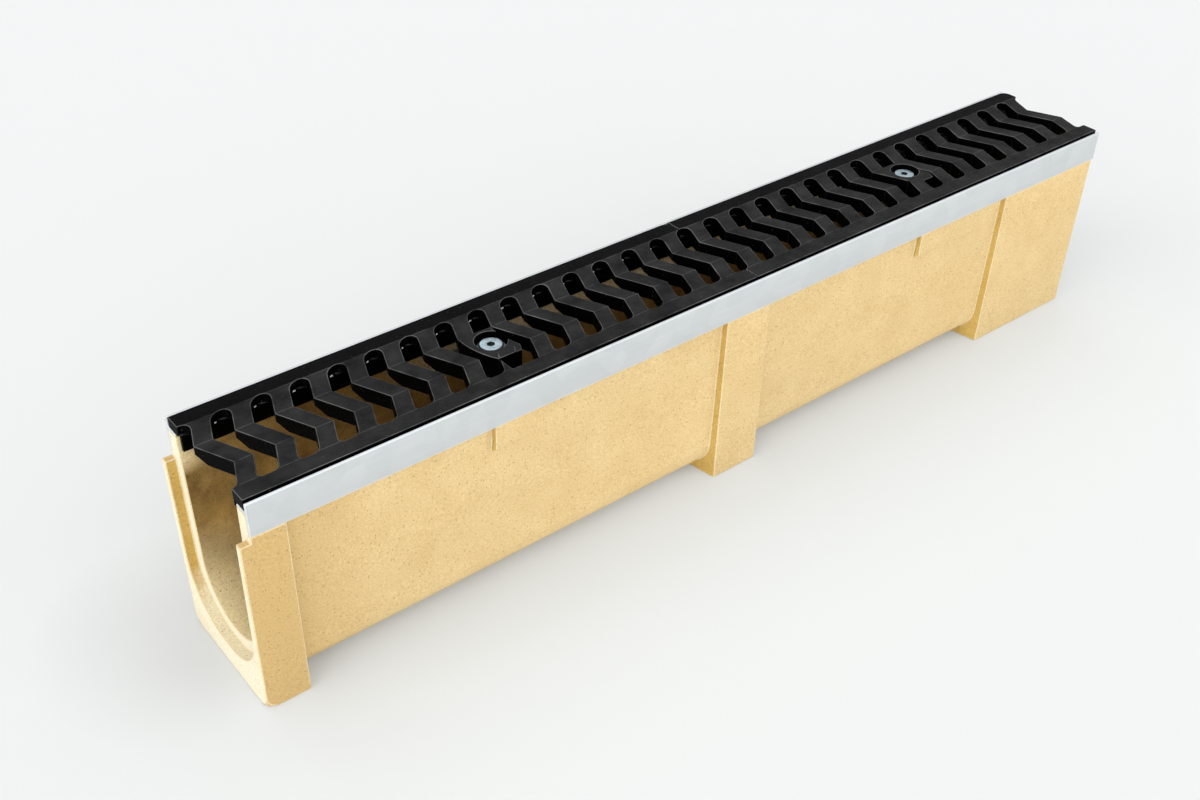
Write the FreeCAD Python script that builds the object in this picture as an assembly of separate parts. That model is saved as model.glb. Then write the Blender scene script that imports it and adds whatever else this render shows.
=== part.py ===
"""Line drain: a one metre channel of polymer concrete with steel edge rails and two cast gratings.

X runs along the channel, Y across it and Z up. The origin is on the floor, in the middle of the
channel, under the joint between the two gratings. All sizes are millimetres.
"""
import FreeCAD, Part
import math
import os

Vec = FreeCAD.Vector

# Overall sizes
run_length = 1000.0            # rails and gratings, from end to end
total_height = 210.0           # floor to the top of the gratings
rail_width = 131.0             # outside of the front rail to outside of the back rail

# Gratings
casting_clearance = 2.0        # each side, between a casting and the steel
casting_gap = 1.0              # between the two castings, and left free in all at the ends
end_margin = 0.3               # the outermost bars stop this far short of a casting's ends
flange_thickness = 10.0        # side rails of a casting, which rest on the seats
bar_count = 15
bar_width = 16.0               # measured along the channel
kink = 17.0                    # middle of the channel to each bend of a bar
bend_back = 10.0               # how far a bar runs along the channel behind its first bend
bend_middle = 15.5             # between its two bends
bend_front = 11.0              # and in front of its second bend
dish_depth = 1.2               # how far the bars lie below the side rails
slot_corner = 5.0              # rounding of a slot's two front corners
dish_ledge = 1.0               # the side rails rise this far inside the slot ends
bar_depth = 15.0               # top of the casting to the underside of a bar at its middle
haunch_depth = 9.0             # the same beside the side rails
haunch_inner = 7.0             # middle of the channel to where the underside of a bar rises
haunch_outer = 17.0            # middle of the channel to where it has risen
skirt_thickness = 3.2
skirt_clearance = 3.2          # between a skirt and the seat beside it
skirt_depth = 24.0             # top of the casting to the lower edge of a skirt
skirt_notch = 15.5             # the same at the near end of the front skirt
skirt_notch_length = 14.0
skirt_end = 1.5                # skirts stop this far short of the ends
skirt_ledge = 1.4              # skirts stand this far inside the slot ends
corner_radius = 8.0            # back corner of a casting at its far end

# Bosses and bolts. The outline of a boss is measured from the middle of its bolt
boss_depth = 21.0              # top of the casting to the underside of a boss
boss_back_left = 21.0          # left and right are seen from the front of the drain
boss_waist_left = 19.5
boss_front_left = 10.0
boss_front_right = 13.0
boss_side_right = 16.5
boss_waist_right = 12.2
boss_back_right = 11.5
boss_waist = -2.0              # place of the waist across the channel
boss_side = -18.0              # and of the widest point on the right
boss_front = 26.0              # middle of the bolt to the front edge of a boss
counterbore_radius = 14.0
counterbore_depth = 8.6        # below the dished top
bolt_radius = 5.0
bolt_clearance = 0.6           # radial, round the shank
head_radius = 10.6
head_height = 3.6
head_bevel = 1.0
socket_across = 6.0            # across the flats of the hexagon socket
socket_depth = 2.4
washer_radius = 12.8
washer_thickness = 1.6
thread_tail = 6.0              # shank below the nut
near_bolt_offset = 5.5         # the near bolt stands this far beyond the middle of its casting
far_bolt_offset = 14.0         # and the far one this far, which puts it between two bars

# Steel rails
rail_face = 31.0               # height of the outer face
rail_thickness = 2.5
rail_drop = 1.5                # top of the rail below the top of the gratings
seat_width = 13.0              # inner leg that carries a casting

# Trough
trough_wall = 15.8             # thickness of a wall at the seats
trough_radius = 43.0           # rounded bottom
trough_floor = 34.0            # floor of the trough above the ground
wall_recess = 6.5              # walls stand back from the face of the rails
wall_draft = 3.3               # and lean in by this much down to the corner
wall_corner = 34.0             # rounded lower edge
wall_underside = 4.0           # clear height under the trough between the feet

# Feet, all of them flush with the rails at the top
foot_draft = 2.0               # each side leans in by this much down to the floor
foot_flare = 10.0              # degrees, the sides of a foot widen towards the middle
near_foot = 29.0               # length beyond the socket step
middle_foot = 52.0
middle_foot_at = -10.0         # middle of this foot along the channel
far_foot = 144.0
end_setback = 3.0              # concrete stops short of the far end of the rails

# Socket at the near end and tongue at the far end
socket_length = 9.0
socket_top = 172.0             # top of the socket's shell
socket_half_top = 56.0
socket_half_low = 53.5
socket_radius = 50.0
socket_floor = 23.0
tongue_clearance = 0.8

# Crossbars, their pockets and the pads outside them
pad_length = 84.0
pad_height = 23.0
pad_slope = 5.0                # run-out under a pad
pad_cover = 4.7                # concrete between a pad and the trough
crossbar_length = 104.0
crossbar_width = 30.0
crossbar_thickness = 8.0
crossbar_drop = 12.0           # lower edge of the skirts to the top of a crossbar
pocket_length = 60.0
pocket_height = 14.0
pocket_clearance = 0.8         # between the end of a crossbar and its pocket
nut_across = 16.0
nut_height = 8.0
thread_clearance = 0.05

# Levels and widths that follow from the sizes above
rail_top = total_height - rail_drop
rail_bottom = rail_top - rail_face
seat_level = total_height - flange_thickness
concrete_top = seat_level - rail_thickness
rail_half = rail_width / 2
concrete_half = rail_half - rail_thickness
trough_half = concrete_half - trough_wall
dish_level = total_height - dish_depth
skirt_bottom = total_height - skirt_depth
skirt_inner = concrete_half - seat_width - skirt_clearance - skirt_thickness
slot_reach = skirt_inner + skirt_ledge
dish_reach = slot_reach - dish_ledge
end_inner = -run_length / 2
end_far = run_length / 2 - end_setback
end_outer = end_inner - socket_length
crossbar_top = skirt_bottom - crossbar_drop
crossbar_bottom = crossbar_top - crossbar_thickness
casting_length = run_length / 2 - casting_gap
casting_half = concrete_half - casting_clearance
pitch = (casting_length - 2 * end_margin - bend_middle - bar_width) / (bar_count - 1)
slot_width = pitch - bar_width
bearing_level = dish_level - counterbore_depth
head_seat = bearing_level + washer_thickness
near_start = end_inner + casting_gap / 2
far_start = casting_gap / 2
near_bolt_x = near_start + casting_length / 2 + near_bolt_offset
far_bolt_x = far_start + casting_length / 2 + far_bolt_offset
bolt_places = {"near": near_bolt_x, "far": far_bolt_x}


def box(x0, x1, y0, y1, z0, z1):
    """A block between two corners."""
    return Part.makeBox(x1 - x0, y1 - y0, z1 - z0, Vec(x0, y0, z0))


def line(a, b):
    """A straight edge."""
    return Part.LineSegment(a, b).toShape()


def prism(points, direction):
    """A solid made by moving a flat outline along a direction."""
    wire = Part.makePolygon(points + points[:1])
    return Part.Face(wire).extrude(direction)


def u_section(x0, x1, half_top, z_top, half_low, z_bottom, radius):
    """A solid with a U-shaped section: leaning walls, rounded lower corners and a flat bottom."""
    flat = half_low - radius
    z_low = z_bottom + radius
    turn = radius * math.sin(math.radians(45))

    def corner(side):
        start = Vec(x0, side * half_low, z_low)
        middle = Vec(x0, side * (flat + turn), z_low - turn)
        return Part.Arc(start, middle, Vec(x0, side * flat, z_bottom)).toShape()

    edges = [line(Vec(x0, -half_top, z_top), Vec(x0, half_top, z_top)),
             line(Vec(x0, half_top, z_top), Vec(x0, half_low, z_low)),
             corner(1)]
    if flat > 0.01:
        edges.append(line(Vec(x0, flat, z_bottom), Vec(x0, -flat, z_bottom)))
    edges.append(corner(-1))
    edges.append(line(Vec(x0, -half_low, z_low), Vec(x0, -half_top, z_top)))
    face = Part.Face(Part.Wire(Part.__sortEdges__(edges)))
    return face.extrude(Vec(x1 - x0, 0, 0))


def trough_space(x0, x1):
    """The hollow of the trough, open at the top."""
    hollow = u_section(x0, x1, trough_half, concrete_top, trough_radius, trough_floor, trough_radius)
    return hollow.fuse(box(x0, x1, -trough_half, trough_half, concrete_top, total_height))


def foot(x0, x1, flare_near, flare_far):
    """A foot: drafted outside faces, and sides that widen towards the middle of the channel."""
    low = rail_half - foot_draft
    widen = rail_half * math.tan(math.radians(foot_flare))
    start = x0 - 2 * widen
    outline = [Vec(start, -low, 0), Vec(start, low, 0),
               Vec(start, rail_half, rail_bottom), Vec(start, -rail_half, rail_bottom)]
    solid = prism(outline, Vec(x1 + 2 * widen - start, 0, 0))
    near_mid = x0 - widen * flare_near
    far_mid = x1 + widen * flare_far
    plan = [Vec(x0, -rail_half, 0), Vec(x1, -rail_half, 0), Vec(far_mid, 0, 0),
            Vec(x1, rail_half, 0), Vec(x0, rail_half, 0)]
    if flare_near:
        plan.append(Vec(near_mid, 0, 0))
    return solid.common(prism(plan, Vec(0, 0, rail_bottom)))


def pad(x, side):
    """A shallow pad under the rail, outside a crossbar's pocket. It runs out along the channel."""
    inner = side * (trough_half + pad_cover)
    face = side * rail_half
    low = rail_bottom - pad_height
    back = side * (rail_half - wall_recess)
    near = x - pad_length / 2
    outline = [Vec(near, inner, rail_bottom), Vec(near, face, rail_bottom), Vec(near, face, low),
               Vec(near, back, low - pad_slope), Vec(near, inner, low - pad_slope)]
    plan = [Vec(near, inner, 0), Vec(near, face, 0), Vec(near + pad_length, back, 0),
            Vec(near + pad_length, inner, 0)]
    return prism(outline, Vec(pad_length, 0, 0)).common(prism(plan, Vec(0, 0, rail_bottom)))


def channel_body():
    """The concrete channel with its feet, pads, socket, tongue and crossbar pockets."""
    wall_top = rail_half - wall_recess
    wall_low = wall_top - wall_draft
    body = u_section(end_inner, end_far, wall_top, rail_bottom, wall_low, wall_underside, wall_corner)
    parts = [box(end_inner, end_far, -concrete_half, concrete_half, rail_bottom, concrete_top),
             foot(end_outer, end_inner + near_foot, 0, 1),
             foot(middle_foot_at - middle_foot / 2, middle_foot_at + middle_foot / 2, 1, 1),
             foot(end_far - far_foot, end_far, 1, 0)]
    for x in bolt_places.values():
        parts.append(pad(x, 1))
        parts.append(pad(x, -1))
    body = body.fuse(parts)
    body = body.common(box(end_outer, end_far, -rail_half, rail_half, 0, concrete_top))

    tongue = u_section(end_far - 1, end_far + socket_length - tongue_clearance,
                       socket_half_top - tongue_clearance, socket_top - tongue_clearance,
                       socket_half_low - tongue_clearance, socket_floor + tongue_clearance,
                       socket_radius - tongue_clearance)
    body = body.fuse(tongue)
    reach = socket_length + run_length
    body = body.cut(trough_space(-reach, reach))
    socket = u_section(end_outer - 1, end_inner, socket_half_top, socket_top,
                       socket_half_low, socket_floor, socket_radius)
    body = body.cut(socket)
    body = body.cut(box(end_outer - 1, end_inner, -rail_half, rail_half, socket_top, total_height))
    half_pocket = crossbar_length / 2 + pocket_clearance
    for x in bolt_places.values():
        pocket = box(x - pocket_length / 2, x + pocket_length / 2, -half_pocket, half_pocket,
                     crossbar_top - pocket_height, crossbar_top)
        body = body.cut(pocket)
    return body.removeSplitter()


def edge_rail(side):
    """One steel rail: an outer face with an inward leg that carries the castings."""
    x0 = end_inner
    web = [(rail_half, rail_bottom), (rail_half, rail_top), (concrete_half, rail_top),
           (concrete_half, seat_level), (concrete_half - seat_width, seat_level),
           (concrete_half - seat_width, concrete_top), (concrete_half, concrete_top),
           (concrete_half, rail_bottom)]
    return prism([Vec(x0, side * y, z) for y, z in web], Vec(run_length, 0, 0))


def lean(y):
    """How far a bar's edge lies along the channel at y, seen from its first bend."""
    arm = dish_reach - kink
    if y > kink:
        return bend_back * (y - kink) / arm
    if y > -kink:
        return bend_middle * (kink - y) / (2 * kink)
    return bend_middle - bend_front * (-kink - y) / arm


def slot(x, top, bottom):
    """The hole between two bars: a zigzag, round at the back and with two rounded corners in front.

    x is the next bar's first bend.
    """
    stations = [slot_reach - slot_width / 2, kink, -kink, slot_corner - slot_reach]
    left = [Vec(x - slot_width + lean(y), y, bottom) for y in stations]
    right = [Vec(x + lean(y), y, bottom) for y in stations]
    back_tip = Vec(x - slot_width / 2 + lean(slot_reach), slot_reach, bottom)
    turn = slot_corner * (1 - math.sin(math.radians(45)))
    shift = lean(-slot_reach)
    front_left = Vec(x - slot_width + slot_corner + shift, -slot_reach, bottom)
    front_right = Vec(x - slot_corner + shift, -slot_reach, bottom)
    turn_left = Vec(x - slot_width + turn + shift, turn - slot_reach, bottom)
    turn_right = Vec(x - turn + shift, turn - slot_reach, bottom)
    edges = [line(a, b) for a, b in zip(left, left[1:])]
    edges += [line(a, b) for a, b in zip(right, right[1:])]
    edges += [Part.Arc(left[0], back_tip, right[0]).toShape(),
              Part.Arc(left[-1], turn_left, front_left).toShape(),
              line(front_left, front_right),
              Part.Arc(front_right, turn_right, right[-1]).toShape()]
    face = Part.Face(Part.Wire(Part.__sortEdges__(edges)))
    return face.extrude(Vec(0, 0, top - bottom))


def casting_blank(x0):
    """The plate that the slots are cut from: side rails, dished top and haunched underside."""
    half = casting_half
    inner = skirt_inner + skirt_thickness
    low = total_height - bar_depth
    high = total_height - haunch_depth
    section = [(-half, total_height), (-dish_reach, total_height), (-kink, dish_level),
               (kink, dish_level), (dish_reach, total_height), (half, total_height),
               (half, seat_level), (inner, seat_level), (inner, high),
               (haunch_outer, high), (haunch_inner, low), (-haunch_outer, low),
               (-haunch_outer - haunch_inner, high), (-inner, high), (-inner, seat_level),
               (-half, seat_level)]
    return prism([Vec(x0, y, z) for y, z in section], Vec(casting_length, 0, 0))


def skirt(x0, side):
    """A skirt that hangs inside the trough wall. The front one is notched at its near end."""
    y0 = side * skirt_inner
    x1 = x0 + skirt_end
    x2 = x0 + casting_length - skirt_end
    high = total_height - haunch_depth
    outline = [(x1, high), (x2, high), (x2, skirt_bottom)]
    if side < 0:
        notch = total_height - skirt_notch
        outline += [(x1 + skirt_notch_length, skirt_bottom), (x1 + skirt_notch_length, notch),
                    (x1, notch)]
    else:
        outline.append((x1, skirt_bottom))
    return prism([Vec(x, y0, z) for x, z in outline], Vec(0, side * skirt_thickness, 0))


def boss(x):
    """The solid piece of a casting that its bolt goes through."""
    low = total_height - boss_depth
    back_left = Vec(-boss_back_left, kink, 0)
    front_left = Vec(-boss_front_left, -boss_front, 0)
    front_right = Vec(boss_front_right, -boss_front, 0)
    side_right = Vec(boss_side_right, boss_side, 0)
    back_right = Vec(boss_back_right, kink, 0)
    edges = [Part.Arc(back_left, Vec(-boss_waist_left, boss_waist, 0), front_left).toShape(),
             line(front_left, front_right),
             line(front_right, side_right),
             Part.Arc(side_right, Vec(boss_waist_right, boss_waist, 0), back_right).toShape(),
             line(back_right, back_left)]
    solid = Part.Face(Part.Wire(edges)).extrude(Vec(0, 0, dish_level - low))
    solid.translate(Vec(x, 0, low))
    return solid


def grating(x0, bolt_x, open_front):
    """One casting: a slotted plate with skirts and a boss that is bored for its bolt."""
    low = total_height - bar_depth
    above = total_height + 1
    first = x0 + end_margin
    last = first + bar_count * pitch
    places = [first - slot_width / 2] + [first + i * pitch for i in range(bar_count + 1)]
    places.append(last + slot_width / 2)
    slots = [slot(x, above, low - 1) for x in places]
    if open_front:
        slots.append(box(bolt_x - boss_front_left, bolt_x + boss_side_right,
                         -slot_reach, -boss_front, low - 1, above))
    casting = casting_blank(x0).cut(slots)
    casting = casting.fuse([skirt(x0, 1), skirt(x0, -1), boss(bolt_x)])
    head_space = Part.makeCylinder(counterbore_radius, counterbore_depth + 2,
                                   Vec(bolt_x, 0, bearing_level))
    hole = Part.makeCylinder(bolt_radius + bolt_clearance, boss_depth + 2,
                             Vec(bolt_x, 0, total_height - boss_depth - 1))
    casting = casting.cut([head_space, hole]).removeSplitter()
    return round_far_corner(casting, x0)


def round_far_corner(casting, x0):
    """Round the upright edge at the back of a casting's far end."""
    edges = []
    for edge in casting.Edges:
        ends = [v.Point for v in edge.Vertexes]
        upright = len(ends) == 2 and abs(ends[0].z - ends[1].z) > flange_thickness / 2
        far_back = all(abs(p.x - x0 - casting_length) < 0.1 and abs(p.y - casting_half) < 0.1
                       for p in ends)
        if upright and far_back:
            edges.append(edge)
    return casting.makeFillet(corner_radius, edges)


def hexagon(across, x, z, height):
    """An upright hexagonal prism."""
    corner = across / math.sqrt(3)
    points = [Vec(x + corner * math.cos(math.radians(60 * i)), corner * math.sin(math.radians(60 * i)), z)
              for i in range(6)]
    return prism(points, Vec(0, 0, height))


def washer(x):
    """The flat ring between a bolt head and its boss."""
    ring = Part.makeCylinder(washer_radius, washer_thickness, Vec(x, 0, bearing_level))
    return ring.cut(Part.makeCylinder(bolt_radius + bolt_clearance, 3 * washer_thickness,
                                      Vec(x, 0, bearing_level - washer_thickness)))


def bolt(x):
    """A bolt with a low round head, a hexagon socket and a plain shank."""
    head = Part.makeCylinder(head_radius, head_height, Vec(x, 0, head_seat))
    rim = [e for e in head.Edges if len(e.Vertexes) == 1 and e.CenterOfMass.z > head_seat + head_height / 2]
    head = head.makeChamfer(head_bevel, rim)
    tail = crossbar_bottom - nut_height - thread_tail
    shank = Part.makeCylinder(bolt_radius, head_seat - tail, Vec(x, 0, tail))
    solid = head.fuse(shank).removeSplitter()
    return solid.cut(hexagon(socket_across, x, head_seat + head_height - socket_depth, socket_depth + 1))


def crossbar(x):
    """A flat bar across the trough, with a hole for the bolt."""
    half = crossbar_length / 2
    bar = box(x - crossbar_width / 2, x + crossbar_width / 2, -half, half, crossbar_bottom, crossbar_top)
    hole = Part.makeCylinder(bolt_radius + bolt_clearance, 3 * crossbar_thickness,
                             Vec(x, 0, crossbar_bottom - crossbar_thickness))
    return bar.cut(hole)


def nut(x):
    """The nut under a crossbar."""
    z = crossbar_bottom - nut_height
    bore = Part.makeCylinder(bolt_radius + thread_clearance, 3 * nut_height, Vec(x, 0, z - nut_height))
    return hexagon(nut_across, x, z, nut_height).cut(bore)


def save(name, shape):
    """Write one piece to its own file."""
    shape.exportStep("parts/" + name + ".step")
    print(name, len(shape.Solids), "solid", shape.isValid(), round(shape.Volume / 1000, 1), "cm3")


os.makedirs("parts", exist_ok=True)
save("channel_body", channel_body())
save("edge_rail_front", edge_rail(-1))
save("edge_rail_back", edge_rail(1))
save("grating_near", grating(near_start, near_bolt_x, True))
save("grating_far", grating(far_start, far_bolt_x, False))
for place, bolt_x in bolt_places.items():
    save("bolt_" + place, bolt(bolt_x))
    save("washer_" + place, washer(bolt_x))
    save("crossbar_" + place, crossbar(bolt_x))
    save("nut_" + place, nut(bolt_x))
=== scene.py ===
# %% [markdown]
# # A channel drain with two cast gratings
# The drain is a one metre channel of sand coloured concrete. Two bright steel rails line its top
# edges, and two black castings with zigzag slots lie between them, each held by one bolt.
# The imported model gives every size. This lesson dresses it: each node is either rebuilt here with
# rounded edges or given a finish, and then the whole is lit and placed in front of a camera.

# %% Load the frame
import bmesh
import bpy
import math
from contextlib import contextmanager
from mathutils import Matrix, Vector


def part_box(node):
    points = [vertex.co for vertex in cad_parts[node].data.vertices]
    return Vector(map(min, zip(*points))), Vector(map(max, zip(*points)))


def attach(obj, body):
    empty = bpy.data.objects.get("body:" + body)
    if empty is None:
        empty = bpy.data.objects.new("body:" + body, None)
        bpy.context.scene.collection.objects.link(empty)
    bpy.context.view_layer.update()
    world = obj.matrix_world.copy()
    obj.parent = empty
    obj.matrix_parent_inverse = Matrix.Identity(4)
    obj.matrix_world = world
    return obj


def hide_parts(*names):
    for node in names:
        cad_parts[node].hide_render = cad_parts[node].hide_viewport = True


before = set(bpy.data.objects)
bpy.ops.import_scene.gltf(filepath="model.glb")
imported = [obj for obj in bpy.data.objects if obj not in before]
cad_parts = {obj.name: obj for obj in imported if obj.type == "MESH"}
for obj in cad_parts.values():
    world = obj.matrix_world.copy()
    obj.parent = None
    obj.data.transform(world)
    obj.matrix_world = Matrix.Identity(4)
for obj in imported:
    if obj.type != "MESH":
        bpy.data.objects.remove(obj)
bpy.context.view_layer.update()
MM = 0.001
print("nodes:", ", ".join(sorted(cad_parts)))

# %% [markdown]
# ## Measuring the nodes
# Everything sits on what carries it, so the sizes are read from the nodes' own boxes. Only what a
# box can't say, such as the slope of a bar, is written as a number, in millimetres.

# %% Read the places from the boxes
near_low, near_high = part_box("grating_near")
far_low, far_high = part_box("grating_far")
casting_length = near_high.x - near_low.x
casting_half = near_high.y
casting_top = near_high.z
bolt_at = {}
for place in ("near", "far"):
    low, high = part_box("bolt_" + place)
    bolt_at[place] = (low.x + high.x) / 2
print("casting", round(casting_length / MM, 1), "mm long, bolts at",
      {k: round(v / MM, 1) for k, v in bolt_at.items()})

# %% [markdown]
# ## Shader groups
# A surface looks real when three things vary over it: colour, roughness and height. Effects that
# several finishes share are node groups. They read Object coordinates, which are metres here, so
# a scale of 500 gives a grain of about two millimetres.
# A few short helpers come first. They add a node, feed its inputs and hand back its output, so that
# a shader reads almost like a formula.


# %% Helpers that wire nodes
def new_group(name, inputs, outputs):
    """An empty shader group with float inputs {name: value} and outputs [(name, kind)]."""
    tree = bpy.data.node_groups.new(name, "ShaderNodeTree")
    for label, value in inputs.items():
        socket = tree.interface.new_socket(label, in_out="INPUT", socket_type="NodeSocketFloat")
        socket.default_value = value
    for label, kind in outputs:
        tree.interface.new_socket(label, in_out="OUTPUT", socket_type="NodeSocket" + kind)
    return tree, tree.nodes.new("NodeGroupInput"), tree.nodes.new("NodeGroupOutput")


def add(tree, kind, links=None, **values):
    """Add a node, set its properties and feed its inputs from numbers or from other sockets."""
    node = tree.nodes.new(kind)
    for key, value in values.items():
        setattr(node, key, value)
    for key, source in (links or {}).items():
        if isinstance(source, bpy.types.NodeSocket):
            tree.links.new(source, node.inputs[key])
        else:
            node.inputs[key].default_value = source
    return node


def calc(tree, operation, a, b=0.0):
    """One calculation with two numbers or sockets."""
    return add(tree, "ShaderNodeMath", {0: a, 1: b}, operation=operation).outputs[0]


def between(tree, value, low, high, out_low=0.0, out_high=1.0):
    """Spread the part of value between low and high over another range."""
    node = add(tree, "ShaderNodeMapRange", {"Value": value, "From Min": low, "From Max": high,
                                            "To Min": out_low, "To Max": out_high})
    return node.outputs["Result"]


print("helpers: new_group, add, calc, between")

# %% [markdown]
# ### The sand grain
# Noise at a low scale gives soft patches and noise at a high scale the grain. Voronoi cells give the
# specks: each cell draws a chance, and only the few cells below the wanted amount show a dot.


# %% Grain: mottling, specks and pits
def make_grain():
    """Mottling in soft patches, a fine grain, small dark specks and the height of both."""
    tree, inputs, outputs = new_group(
        "sand grain",
        {"Patch Scale": 22.0, "Grain Scale": 700.0, "Speck Scale": 240.0, "Speck Amount": 0.3},
        [("Patches", "Float"), ("Grain", "Float"), ("Specks", "Float"), ("Height", "Float")])
    place = add(tree, "ShaderNodeTexCoord").outputs["Object"]
    patches = add(tree, "ShaderNodeTexNoise", {"Vector": place, "Scale": inputs.outputs["Patch Scale"],
                                               "Detail": 5.0, "Roughness": 0.62})
    grain = add(tree, "ShaderNodeTexNoise", {"Vector": place, "Scale": inputs.outputs["Grain Scale"],
                                             "Detail": 2.0, "Roughness": 0.6})
    cells = add(tree, "ShaderNodeTexVoronoi", {"Vector": place, "Scale": inputs.outputs["Speck Scale"]})
    chance = add(tree, "ShaderNodeSeparateColor", {"Color": cells.outputs["Color"]}).outputs[0]
    chosen = calc(tree, "LESS_THAN", chance, inputs.outputs["Speck Amount"])
    size = between(tree, chance, 0.0, inputs.outputs["Speck Amount"], 0.16, 0.34)
    inside = calc(tree, "LESS_THAN", cells.outputs["Distance"], size)
    specks = calc(tree, "MULTIPLY", chosen, inside)
    tree.links.new(between(tree, patches.outputs["Fac"], 0.3, 0.7), outputs.inputs["Patches"])
    tree.links.new(between(tree, grain.outputs["Fac"], 0.3, 0.7), outputs.inputs["Grain"])
    tree.links.new(specks, outputs.inputs["Specks"])
    height = calc(tree, "SUBTRACT", grain.outputs["Fac"], calc(tree, "MULTIPLY", specks, 0.6))
    tree.links.new(height, outputs.inputs["Height"])
    return tree


grain_group = make_grain()
print("group:", grain_group.name, [s.name for s in grain_group.interface.items_tree])

# %% [markdown]
# ## Finishes
# Each finish is one material. The Principled shader stays in the material itself; only masks and
# heights come out of the groups. Colours are written as they look on screen and turned into the
# linear values that a shader works with.


# %% Colours and a blank material
def srgb(red, green, blue):
    """A screen colour from 0 to 255 as linear values with full opacity."""
    def linear(c):
        c /= 255
        return c / 12.92 if c <= 0.04045 else ((c + 0.055) / 1.055) ** 2.4
    return (linear(red), linear(green), linear(blue), 1.0)


def new_material(name):
    """A material with its Principled shader."""
    material = bpy.data.materials.new(name)
    material.use_nodes = True
    return material, material.node_tree, material.node_tree.nodes["Principled BSDF"]


def tint(tree, factor, a, b):
    """Mix two colours."""
    node = add(tree, "ShaderNodeMix", data_type="RGBA")
    for key, source in ((0, factor), (6, a), (7, b)):
        if isinstance(source, bpy.types.NodeSocket):
            tree.links.new(source, node.inputs[key])
        else:
            node.inputs[key].default_value = source
    return node.outputs[2]


def place_group(tree, group, **values):
    """Put a group into a material and set its inputs; underscores stand for spaces."""
    node = tree.nodes.new("ShaderNodeGroup")
    node.node_tree = group
    for key, value in values.items():
        node.inputs[key.replace("_", " ")].default_value = value
    return node.outputs


def bump(tree, shader, height, strength, distance):
    """Give the shader a bump from a height."""
    node = add(tree, "ShaderNodeBump", {"Strength": strength, "Distance": distance, "Height": height})
    tree.links.new(node.outputs["Normal"], shader.inputs["Normal"])


print("white on screen is", srgb(255, 255, 255)[0], "and middle grey", round(srgb(128, 128, 128)[0], 3))

# %% [markdown]
# ### Concrete
# Polymer concrete is quartz sand bound with resin: pale yellow, nearly matt, with small brown and
# dark grains and cloudy patches. Its rounded edges are painted paler, as a painted highlight. Faces
# that look towards the near end are a darker gold, as painted shade, and the inside is darker brown,
# with stains and painted shade. Masks say where a second tone shows: a darker one on the near foot,
# and paler ones, as painted light, on ledges that look up and on the parts of the inside that
# daylight reaches.
# Light that has bounced off it would stain the white floor yellow, so Light Path greys such rays.


# %% Concrete in five states
def facing_up(tree, low, high):
    """A mask that is 1 where a surface looks up."""
    normal = add(tree, "ShaderNodeNewGeometry").outputs["Normal"]
    return between(tree, add(tree, "ShaderNodeSeparateXYZ", {"Vector": normal}).outputs["Z"], low, high)


def along_mask(tree, axis, begin, finish):
    """A mask that rises from 0 to 1 between two places on the X, Y or Z axis, in millimetres."""
    place = add(tree, "ShaderNodeTexCoord").outputs["Object"]
    return between(tree, add(tree, "ShaderNodeSeparateXYZ", {"Vector": place}).outputs[axis],
                   begin * MM, finish * MM)


GREY_BOUNCE = srgb(206, 203, 198)
GRAIN_SHARE = 0.3
SPECK_SHARE = 0.5


def make_concrete(name, light, dark, speck, speck_amount, second=None, mask=None, grey=0.75):
    """Sand coloured concrete between two tones, with a second tone where the mask is 1.

    grey says how far the light that bounces off it turns to GREY_BOUNCE.
    """
    material, tree, shader = new_material(name)
    grain = place_group(tree, grain_group, Patch_Scale=26.0, Grain_Scale=620.0,
                        Speck_Scale=430.0, Speck_Amount=speck_amount)
    cloudy = tint(tree, grain["Patches"], dark, light)
    if mask:
        cloudy = tint(tree, mask(tree), cloudy, second)
    sandy = tint(tree, grain["Grain"], speck, cloudy)
    gritty = tint(tree, 1 - GRAIN_SHARE, sandy, cloudy)
    dotted = tint(tree, calc(tree, "MULTIPLY", grain["Specks"], SPECK_SHARE), gritty, speck)
    bounced = add(tree, "ShaderNodeLightPath").outputs["Is Diffuse Ray"]
    calm = tint(tree, calc(tree, "MULTIPLY", bounced, grey), dotted, GREY_BOUNCE)
    tree.links.new(calm, shader.inputs["Base Color"])
    tree.links.new(between(tree, grain["Patches"], 0, 1, 0.62, 0.78), shader.inputs["Roughness"])
    shader.inputs["Specular IOR Level"].default_value = 0.3
    bump(tree, shader, grain["Height"], 0.4, 0.0006)
    return material


def near_foot_mask(tree):
    """The foot at the near end and the wall beside it."""
    return along_mask(tree, "X", -400, -480)


def painted_light_ledge_mask(tree):
    """Painted light: ledges and rounded bottoms, which look up, are paler."""
    return facing_up(tree, 0.15, 0.75)


def daylight_mask(tree):
    """Where the inside is paler: low down at the near end, and high up where light falls in."""
    low = calc(tree, "MULTIPLY", along_mask(tree, "Z", 112, 42), along_mask(tree, "X", -440, -500))
    far_slots = along_mask(tree, "X", -330, -230)
    near_end = along_mask(tree, "X", -470, -500)
    high = calc(tree, "MULTIPLY", along_mask(tree, "Z", 160, 175), calc(tree, "MAXIMUM", far_slots, near_end))
    return calc(tree, "MAXIMUM", low, high)


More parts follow.
